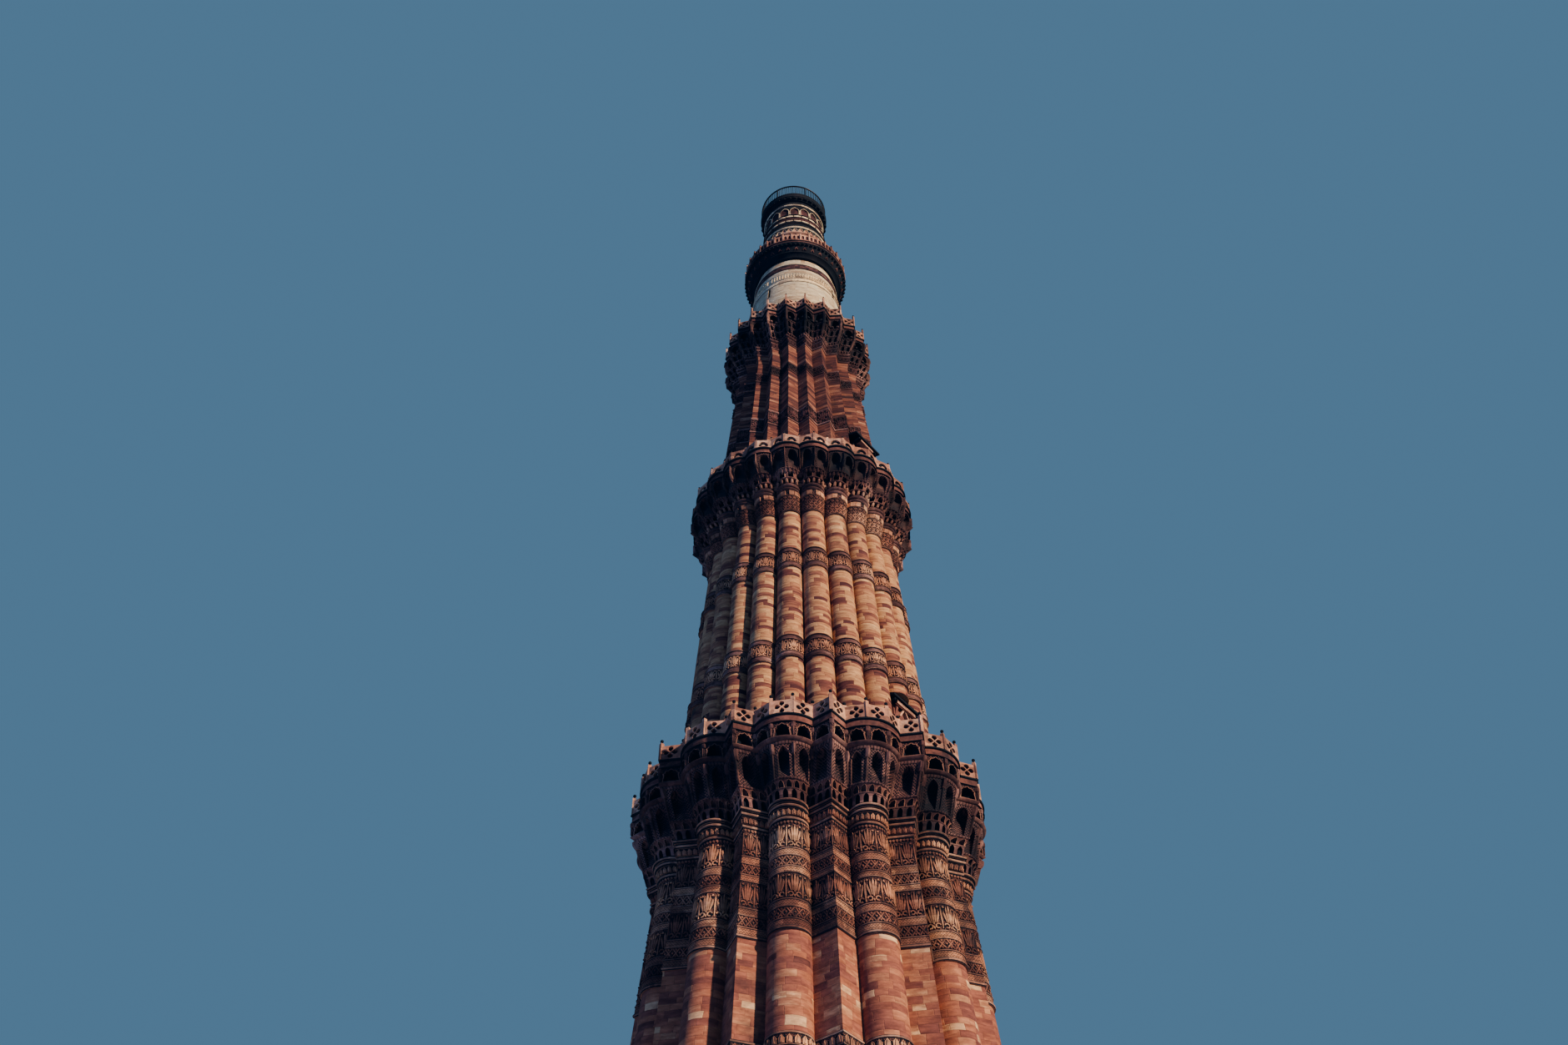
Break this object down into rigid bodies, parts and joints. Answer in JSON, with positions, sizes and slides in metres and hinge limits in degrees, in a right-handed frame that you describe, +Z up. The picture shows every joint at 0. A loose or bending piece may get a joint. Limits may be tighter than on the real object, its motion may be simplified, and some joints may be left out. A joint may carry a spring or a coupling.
{
  "type": "half-scale model of a fluted five-storey minaret",
  "caption": "Half-scale model of a tall tapering stone minaret: fluted hollow storeys with ringed balconies on carved corbels, doorways, a round marble storey and a railed roof platform.",
  "frame": {"origin": "middle of the plinth's flat underside, on the tower's axis", "axes": "+Z up along the tower's axis, +X towards the side of the entrance and the balcony doors"},
  "size_m": [7.1384, 7.1384, 36.47],
  "materials": {
    "sandstone": "coursed red and buff sandstone, weathered",
    "carved_stone": "carved dark red sandstone, heavily weathered",
    "buff_stone": "dressed buff sandstone",
    "marble": "cream marble facing, honed",
    "iron": "dark painted iron"
  },
  "bodies": {
    "root": {"plinth": "buff_stone", "entrance_steps": "buff_stone", "entrance_portal": "marble", "storey_1_wall_right": "sandstone", "storey_1_wall_back": "sandstone", "storey_1_wall_left": "sandstone", "storey_1_wall_over_door": "sandstone", "balcony_1_corbels": "carved_stone", "balcony_1_floor": "sandstone", "balcony_1_parapet_right": "sandstone", "balcony_1_parapet_left": "sandstone", "storey_2_wall_right": "sandstone", "storey_2_wall_back": "sandstone", "storey_2_wall_left": "sandstone", "storey_2_wall_over_door": "sandstone", "storey_2_door_case": "buff_stone", "balcony_2_corbels": "carved_stone", "balcony_2_floor": "sandstone", "balcony_2_parapet_right": "sandstone", "balcony_2_parapet_left": "sandstone", "storey_3_wall_right": "sandstone", "storey_3_wall_back": "sandstone", "storey_3_wall_left": "sandstone", "storey_3_wall_over_door": "sandstone", "storey_3_door_case": "buff_stone", "balcony_3_corbels": "carved_stone", "balcony_3_floor": "sandstone", "balcony_3_parapet_right": "sandstone", "balcony_3_parapet_left": "sandstone", "storey_4_wall_right": "marble", "storey_4_wall_back": "marble", "storey_4_wall_left": "marble", "storey_4_wall_over_door": "marble", "balcony_4_corbels": "carved_stone", "balcony_4_floor": "carved_stone", "balcony_4_parapet_right": "buff_stone", "balcony_4_parapet_left": "buff_stone", "storey_5_wall_right": "buff_stone", "storey_5_wall_back": "buff_stone", "storey_5_wall_left": "buff_stone", "storey_5_wall_over_door": "buff_stone", "roof_platform": "carved_stone", "roof_railing": "iron"}
  },
  "joints": []
}
